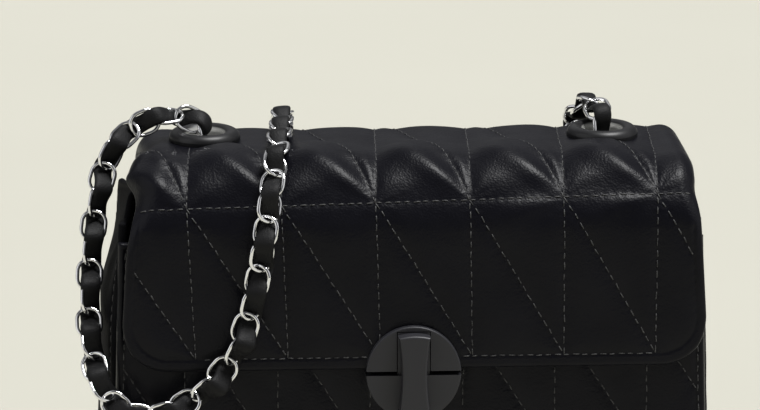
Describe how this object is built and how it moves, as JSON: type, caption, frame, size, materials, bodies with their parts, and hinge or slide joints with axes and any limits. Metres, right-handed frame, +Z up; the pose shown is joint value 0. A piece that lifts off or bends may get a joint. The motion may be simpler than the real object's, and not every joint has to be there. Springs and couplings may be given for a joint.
{
  "type": "chain shoulder bag",
  "caption": "Quilted leather flap bag on a flat base, with crown eyelets, a turn lock on a split round plate and a shoulder strap of metal chain laced with leather.",
  "frame": {"origin": "middle of the flat base that the bag stands on", "axes": "+Z up, +X along the width to the right as seen from the front, -Y out of the front face with the lock"},
  "size_m": [0.2182, 0.0914, 0.1507],
  "materials": {
    "leather": "soft grained black leather, satin",
    "lace": "smooth black leather lace",
    "lining": "fine black woven lining",
    "board": "stiff black fibre board",
    "black_metal": "black satin coat",
    "lock_metal": "dark grey satin coat",
    "chain_steel": "polished silver plating",
    "fastener_steel": "plain steel"
  },
  "bodies": {
    "bag_body": {"front_panel": "leather", "back_panel": "leather", "base_panel": "leather", "base_board": "board", "left_gusset": "leather", "right_gusset": "leather", "lining": "lining", "left_strap_tab": "leather", "right_strap_tab": "leather", "lock_lower_plate": "lock_metal", "lock_backing_plate": "fastener_steel", "lock_screws": "fastener_steel", "strap_links_rear": "chain_steel", "strap_links_over_edge": "chain_steel", "strap_links_inner": "chain_steel", "lace_rear": "lace", "lace_over_edge": "lace", "lace_inner": "lace"},
    "flap": {"flap_panel": "leather", "flap_lining": "lining", "left_eyelet": "black_metal", "right_eyelet": "black_metal", "left_eyelet_washer": "black_metal", "right_eyelet_washer": "black_metal", "lock_upper_plate": "lock_metal", "lock_rivets": "fastener_steel", "strap_links_on_flap": "chain_steel", "lace_on_flap": "lace"},
    "turn_bar": {"turn_bar": "lock_metal", "turn_bar_clip": "fastener_steel"},
    "left_ring": {"left_d_ring": "chain_steel"},
    "right_ring": {"right_d_ring": "chain_steel"}
  },
  "joints": [
    {"name": "flap_hinge", "type": "hinge", "parent": "bag_body", "child": "flap", "pos_m": [0, 0.0329, 0.114], "axis": [-1, 0, 0], "range_deg": [0, 105], "deforming": ["strap_links_over_edge", "lace_over_edge", "strap_links_inner", "lace_inner"]},
    {"name": "turn_bar_turn", "type": "hinge", "parent": "bag_body", "child": "turn_bar", "pos_m": [0, -0.0432, 0.065], "axis": [0, -1, 0], "range_deg": [0, 90]},
    {"name": "left_ring_swing", "type": "hinge", "parent": "bag_body", "child": "left_ring", "pos_m": [-0.08851, 0, 0.1], "axis": [0, 1, 0], "range_deg": [-20, 35]},
    {"name": "right_ring_swing", "type": "hinge", "parent": "bag_body", "child": "right_ring", "pos_m": [0.08851, 0, 0.1], "axis": [0, -1, 0], "range_deg": [-20, 35]}
  ]
}
